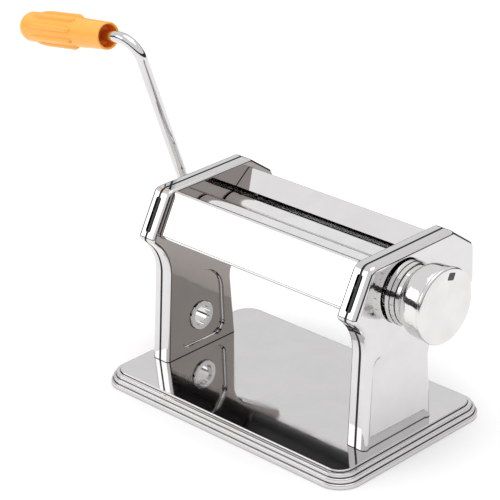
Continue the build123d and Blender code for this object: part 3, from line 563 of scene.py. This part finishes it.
class PASTA_OT_rollers(bpy.types.Operator):
    """Ground rollers with their gears, bushes and eccentric shaft"""

    bl_idname = "pasta.rollers"
    bl_label = "Rollers and drive"

    def execute(self, context):
        metal = context.scene.pasta_metal
        roller = ground_bar("Roller steel", metal.roller, 0.11, 2400.0)
        steel = cloudy_metal("Machined steel", (0.50, 0.50, 0.52), 0.3, 1200.0)
        bronze = cloudy_metal("Bush bronze", (0.62, 0.40, 0.19), 0.38, 1600.0)
        for node in ("rear_roller", "front_roller"):
            dress(node, roller)
        for node in ("eccentric_shaft", "rear_roller_gear", "front_roller_gear", "index_pin"):
            dress(node, steel, 25.0)
        for node in ("rear_roller_bushes", "knob_shaft_bushes", "front_roller_bushes"):
            dress(node, bronze)
        return {"FINISHED"}


class PASTA_OT_crank(bpy.types.Operator):
    """Bent crank rod and the washer and screw that hold the grip"""

    bl_idname = "pasta.crank"
    bl_label = "Crank"

    def execute(self, context):
        metal = context.scene.pasta_metal
        dress("crank_rod", plated_sheet(
            "Chromed rod", metal.chrome, metal.chrome_roughness * 1.4, 0.06, 0.02))
        dress("grip_washer", zinc())
        dress("grip_screw", zinc())
        return {"FINISHED"}


class PASTA_OT_grip(bpy.types.Operator):
    """Moulded grip with a cupped mouth, ribs and a domed end"""

    bl_idname = "pasta.grip"
    bl_label = "Grip"

    LENGTH = 90.0 * MM
    MOUTH = 9.1 * MM
    BODY = 10.1 * MM
    SEGMENTS = 96

    def body_profile(self):
        """Outside from the mouth's rim to the dome, then in through the cup to the bore's floor."""
        dome = 8.6 * MM
        cup, cup_depth, bore = 7.4 * MM, 9.0 * MM, 2.7 * MM
        end = self.LENGTH
        inside = [(0.0, 20.0 * MM), (bore, 20.0 * MM), (bore, cup_depth + 0.4 * MM),
                  (bore + 0.5 * MM, cup_depth)]
        inside += arc_points((cup - 1.5 * MM, cup_depth - 1.5 * MM), 1.5 * MM, 90, 0, 6)
        inside += [(cup, 2.0 * MM), (cup + 0.1 * MM, 0.8 * MM)]
        rim = arc_points((self.MOUTH - 0.8 * MM, 0.8 * MM), 0.8 * MM, -90, 0, 6)
        swell = [(self.MOUTH + (self.BODY - self.MOUTH) * math.sin(math.pi / 2 * k / 14) ** 1.5,
                  0.8 * MM + (54.0 * MM - 0.8 * MM) * k / 14) for k in range(1, 15)]
        barrel = [(self.BODY, end - dome - 4.0 * MM), (self.BODY, end - dome)]
        nose = arc_points((self.BODY - dome, end - dome), dome, 0, 90, 14)[1:]
        return inside + rim + swell + barrel + nose + [(0.0, end)]

    def rib(self, shape):
        """One rib: a long low pod, square at the mouth end and run out towards the dome."""
        low, high = self.LENGTH * 0.33, self.LENGTH * 0.84
        rows, across = 28, 12
        build = bmesh.new()
        grid = []
        for row in range(rows + 1):
            share = row / rows
            z = low + (high - low) * share
            rise = (shape.rib_height * min(1.0, share * 14 + 0.02) ** 0.5
                    * min(1.0, (1.0 - share) * 4.0) ** 0.6)
            half = (shape.rib_width / 2 * min(1.0, share * 10 + 0.25) ** 0.5
                    * min(1.0, (1.0 - share) * 6 + 0.12) ** 0.5)
            sunk = self.BODY * 0.93 - 0.5 * MM
            line = []
            for step in range(across + 1):
                a = math.pi * step / across
                side = -math.cos(a) * half
                height = sunk + (self.BODY - sunk + rise) * math.sin(a) ** 0.55
                line.append(build.verts.new((math.sqrt(max(height * height - side * side, 0)), side, z)))
            grid.append(line)
        for a, b in zip(grid, grid[1:]):
            for k in range(across):
                build.faces.new((a[k], a[k + 1], b[k + 1], b[k]))
            build.faces.new((a[across], a[0], b[0], b[across]))
        build.faces.new(grid[0])
        build.faces.new(grid[-1][::-1])
        bmesh.ops.recalc_face_normals(build, faces=build.faces)
        mesh = bpy.data.meshes.new("rib")
        build.to_mesh(mesh)
        build.free()
        mesh.polygons.foreach_set("use_smooth", [len(p.vertices) == 4 for p in mesh.polygons])
        return mesh

    def execute(self, context):
        shape = context.scene.pasta_grip
        plastic = moulded_plastic("Grip plastic", shape.colour, 0.30, 900.0, 0.94)
        painted_glow = moulded_plastic("Grip mouth painted glow", shape.cup_colour, 0.34, 900.0, 0.9)
        body = lathe(self.body_profile(), self.SEGMENTS)
        body.materials.append(plastic)
        body.materials.append(painted_glow)
        # painted light: faces inside the mouth take the redder colour for light glowing through the
        # plastic
        for face in body.polygons:
            centre = face.center
            if centre.z < 21.0 * MM and math.hypot(centre.x, centre.y) < 7.7 * MM and centre.z > 0.9 * MM:
                face.material_index = 1
        ribs = copies_about_z(self.rib(shape), shape.ribs, math.tau, math.radians(22.5), plastic)
        whole = merged([body, ribs], "crank_grip_moulding")
        whole.transform(grip_matrix())
        grip = piece("crank_grip_moulding", whole, "grip")
        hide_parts("crank_grip", "grip_end_cap")
        return {"FINISHED"}


class PASTA_OT_knob(bpy.types.Operator):
    """Thickness knob: drum, dial ring, cap, setting mark, washer and screw"""

    bl_idname = "pasta.knob"
    bl_label = "Thickness knob"

    def execute(self, context):
        metal = context.scene.pasta_metal
        drum = plated_sheet("Knob metal", metal.knob, 0.09, 0.04, 0.012)
        face = ground_bar("Knob cap metal", metal.knob, 0.16, 300.0)
        dial = plated_sheet("Dial metal", metal.knob, 0.07, 0.04, 0.012)
        mark = moulded_plastic("Mark window", (0.03, 0.03, 0.032), 0.2, 900.0, 0.8)
        dress("knob_body", drum)
        dress("knob_cap", face)
        dress("knob_dial", dial)
        dress("knob_mark", mark)
        dress("knob_washer", zinc())
        dress("knob_screw", zinc())
        return {"FINISHED"}


class PASTA_OT_dial(bpy.types.Operator):
    """Numbers and ticks round the dial ring"""

    bl_idname = "pasta.dial"
    bl_label = "Dial marks"

    PIN_ANGLE = math.radians(43.0)
    INK = 0.03 * MM
    FONT_SIZE_PER_HEIGHT = 1.35
    TICK_WIDTH = 0.22 * MM
    TICK_INSET = 0.1 * MM

    def digit(self, number, size, radius, middle, angle):
        """One number, bent round the ring."""
        curve = bpy.data.curves.new("digit", "FONT")
        curve.body = str(number)
        curve.size = size
        curve.align_x = "CENTER"
        curve.align_y = "CENTER"
        curve.extrude = self.INK
        holder = bpy.data.objects.new("digit", curve)
        bpy.context.scene.collection.objects.link(holder)
        mesh = evaluated_mesh(holder)
        bpy.data.objects.remove(holder)
        for vertex in mesh.vertices:
            around = angle + vertex.co.x / radius
            out = radius + vertex.co.z
            vertex.co = (out * math.cos(around), out * math.sin(around), middle + vertex.co.y)
        return mesh

    def tick(self, length, radius, start):
        """One short line across the edge of the ring."""
        build = bmesh.new()
        bmesh.ops.create_cube(build, size=1.0)
        mesh = bpy.data.meshes.new("tick")
        build.to_mesh(mesh)
        build.free()
        mesh.transform(Matrix.Translation((radius, 0, start + length / 2)) @ Matrix.Diagonal(
            (2 * self.INK, self.TICK_WIDTH, length, 1.0)))
        return mesh

    def execute(self, context):
        shape = context.scene.pasta_dial
        low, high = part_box("knob_dial")
        radius = (high.z - low.z) / 2
        middle = (low.x + high.x) / 2
        ink = moulded_plastic("Dial ink", (0.02, 0.02, 0.021), 0.5, 900.0)
        step = math.pi / (shape.settings - 1)
        first = self.PIN_ANGLE - math.pi / 2
        size = shape.digit_height * self.FONT_SIZE_PER_HEIGHT
        marks = []
        for number in range(shape.settings):
            mesh = self.digit(number, size, radius, middle, first + step * number)
            mesh.materials.clear()
            mesh.materials.append(ink)
            marks.append(mesh)
        tick = self.tick(shape.tick_length, radius, low.x + self.TICK_INSET)
        marks.append(copies_about_z(tick, shape.settings - 1, math.pi, first + step / 2, ink))
        whole = merged(marks, "dial_digits")
        whole.transform(knob_matrix())
        piece("dial_digits", whole, "knob")
        return {"FINISHED"}


class PASTA_OT_spring(bpy.types.Operator):
    """Coil spring inside the knob"""

    bl_idname = "pasta.spring"
    bl_label = "Knob spring"

    WIRE_RADIUS = 0.45 * MM
    TURNS = 5

    def execute(self, context):
        low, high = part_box("knob_spring")
        centre = (low + high) / 2
        wire = self.WIRE_RADIUS
        radius = (high.z - low.z) / 2 - wire
        turns, around, section = self.TURNS, 40, 10
        build = bmesh.new()
        rings = []
        start, end = low.x + wire, high.x - wire
        for k in range(turns * around + 1):
            share = k / (turns * around)
            a = math.tau * turns * share
            hub = Vector((start + (end - start) * share,
                          centre.y + radius * math.cos(a), centre.z + radius * math.sin(a)))
            out = Vector((0, math.cos(a), math.sin(a)))
            side = Vector((1, 0, 0))
            rings.append([build.verts.new(hub + wire * (math.cos(b) * out + math.sin(b) * side))
                          for b in (math.tau * j / section for j in range(section))])
        for a, b in zip(rings, rings[1:]):
            for j in range(section):
                i = (j + 1) % section
                build.faces.new((a[j], a[i], b[i], b[j]))
        build.faces.new(rings[0])
        build.faces.new(rings[-1][::-1])
        bmesh.ops.recalc_face_normals(build, faces=build.faces)
        mesh = bpy.data.meshes.new("knob_coil")
        build.to_mesh(mesh)
        build.free()
        mesh.polygons.foreach_set("use_smooth", [True] * len(mesh.polygons))
        steel = cloudy_metal("Spring steel", (0.42, 0.42, 0.44), 0.26, 1500.0)
        coil = piece("knob_coil", mesh, "knob_shaft", steel)
        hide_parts("knob_spring")
        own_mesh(coil)
        return {"FINISHED"}


class PASTA_OT_studio(bpy.types.Operator):
    """Pale floor, white surround, soft lights, dark flags and the camera"""

    bl_idname = "pasta.studio"
    bl_label = "Studio"

    FLOOR_HALF = 30.0
    FLAG_DISTANCE = 2.8
    FLAG_HEIGHT = 0.74
    FLAG_BOARDS = 24
    LOOKS_AT = (-0.01466, 0.0, 0.10303)
    SENSOR = 36.0
    LENS = 161.12
    SHIFT = (-0.0405, -0.0098)

    def execute(self, context):
        studio = context.scene.pasta_studio
        self.floor(studio)
        self.surround(studio)
        self.lights(studio)
        self.flags()
        self.camera(context, studio)
        context.scene.view_settings.view_transform = "Standard"
        return {"FINISHED"}

    def floor(self, studio):
        mesh = bpy.data.meshes.new("floor")
        half = self.FLOOR_HALF
        corners = [(-half, -half, 0), (half, -half, 0), (half, half, 0), (-half, half, 0)]
        mesh.from_pydata(corners, [], [(0, 1, 2, 3)])
        finish = Finish("Studio floor").set(Metallic=0.0)
        cloud = finish.noise(3.0, 2.0)
        tone = finish.blend(finish.spread(cloud, 0.0, 1.0), studio.floor, tinted(studio.floor, 0.99))
        finish.set(Roughness=0.6)
        finish.use(tone)
        floor = bpy.data.objects.new("studio_floor", mesh)
        mesh.materials.append(finish.material)
        bpy.context.scene.collection.objects.link(floor)

    def surround(self, studio):
        world = bpy.data.worlds.new("White surround")
        bpy.context.scene.world = world
        world.use_nodes = True
        background = world.node_tree.nodes["Background"]
        background.inputs["Color"].default_value = (1, 1, 1, 1)
        background.inputs["Strength"].default_value = studio.sky

    def lights(self, studio):
        for name, place, size, power in (
                ("overhead", (0.2, 0.3, 2.6), 2.4, studio.softbox),
                ("front_window", (-2.04, -2.18, 1.25), 1.6, studio.softbox * 0.6)):
            data = bpy.data.lights.new(name, "AREA")
            data.size = size
            data.energy = power
            lamp = bpy.data.objects.new(name, data)
            lamp.location = place
            lamp.rotation_mode = "QUATERNION"
            lamp.rotation_quaternion = (Vector((0, 0, 0.1)) - lamp.location).to_track_quat("-Z", "Y")
            lamp.visible_camera = False
            bpy.context.scene.collection.objects.link(lamp)
        self.floor_light(studio)

    def floor_light(self, studio):
        """Wide soft light from straight above that whitens the floor and leaves the metal alone."""
        data = bpy.data.lights.new("floor_light", "SUN")
        data.energy = studio.floor_light
        data.angle = math.radians(70.0)
        lamp = bpy.data.objects.new("floor_light", data)
        lamp.visible_glossy = False
        bpy.context.scene.collection.objects.link(lamp)

    def flags(self):
        """Dark boards that only the polished metal sees."""
        black = Finish("Flag cloth").set(Metallic=0.0, Roughness=0.9)
        weave = black.noise(400.0, 2.0)
        black.use(black.blend(weave, (0.012, 0.012, 0.013), (0.03, 0.03, 0.032)))
        near, height, boards = self.FLAG_DISTANCE, self.FLAG_HEIGHT, self.FLAG_BOARDS
        build = bmesh.new()
        rows = [[build.verts.new((near * math.cos(a), near * math.sin(a), z))
                 for a in (math.tau * k / boards for k in range(boards))] for z in (0.0, height)]
        for k in range(boards):
            j = (k + 1) % boards
            build.faces.new((rows[0][j], rows[0][k], rows[1][k], rows[1][j]))
        mesh = bpy.data.meshes.new("flags")
        build.to_mesh(mesh)
        build.free()
        mesh.materials.append(black.material)
        flag = bpy.data.objects.new("studio_flags", mesh)
        bpy.context.scene.collection.objects.link(flag)
        flag.visible_camera = False
        flag.visible_diffuse = False
        flag.visible_shadow = False

    def camera(self, context, studio):
        az, el, roll = studio.azimuth, studio.elevation, studio.roll
        look = Vector((-math.sin(az) * math.cos(el), math.cos(az) * math.cos(el), -math.sin(el)))
        right = Vector((math.cos(az), math.sin(az), 0))
        up = right.cross(look)
        tilted_right = right * math.cos(roll) + up * math.sin(roll)
        tilted_up = up * math.cos(roll) - right * math.sin(roll)
        target = Vector(self.LOOKS_AT)
        data = bpy.data.cameras.new("camera")
        data.sensor_width = self.SENSOR
        data.lens = self.LENS
        data.shift_x, data.shift_y = self.SHIFT
        data.clip_end = 100.0
        camera = bpy.data.objects.new("camera", data)
        turn = Matrix((tilted_right, tilted_up, -look)).transposed().to_4x4()
        camera.matrix_world = Matrix.Translation(target - look * studio.distance) @ turn
        context.scene.collection.objects.link(camera)
        context.scene.camera = camera


class PASTA_PT_panel(bpy.types.Panel):
    """Settings and build steps of the pasta roller machine"""

    bl_idname = "PASTA_PT_panel"
    bl_label = "Pasta machine"
    bl_space_type = "VIEW_3D"
    bl_region_type = "UI"
    bl_category = "Pasta machine"

    def draw(self, context):
        for attribute in SETTINGS:
            group = getattr(context.scene, attribute)
            box = self.layout.box()
            for name in group.__annotations__:
                box.prop(group, name)
        for operator in STEPS:
            self.layout.operator(operator.bl_idname)


SETTINGS = {"pasta_metal": PastaMetal, "pasta_grip": PastaGrip,
            "pasta_dial": PastaDial, "pasta_studio": PastaStudio}
STEPS = (PASTA_OT_sides, PASTA_OT_base, PASTA_OT_covers, PASTA_OT_rollers, PASTA_OT_crank, PASTA_OT_grip,
         PASTA_OT_knob, PASTA_OT_dial, PASTA_OT_spring, PASTA_OT_studio)


def register():
    for group in SETTINGS.values():
        bpy.utils.register_class(group)
    for operator in STEPS:
        bpy.utils.register_class(operator)
    bpy.utils.register_class(PASTA_PT_panel)
    for attribute, group in SETTINGS.items():
        setattr(bpy.types.Scene, attribute, PointerProperty(type=group))


def unregister():
    for attribute in SETTINGS:
        delattr(bpy.types.Scene, attribute)
    bpy.utils.unregister_class(PASTA_PT_panel)
    for operator in reversed(STEPS):
        bpy.utils.unregister_class(operator)
    for group in reversed(SETTINGS.values()):
        bpy.utils.unregister_class(group)


def main():
    register()
    for operator in STEPS:
        group, name = operator.bl_idname.split(".")
        getattr(getattr(bpy.ops, group), name)()


if __name__ == "__main__":
    main()
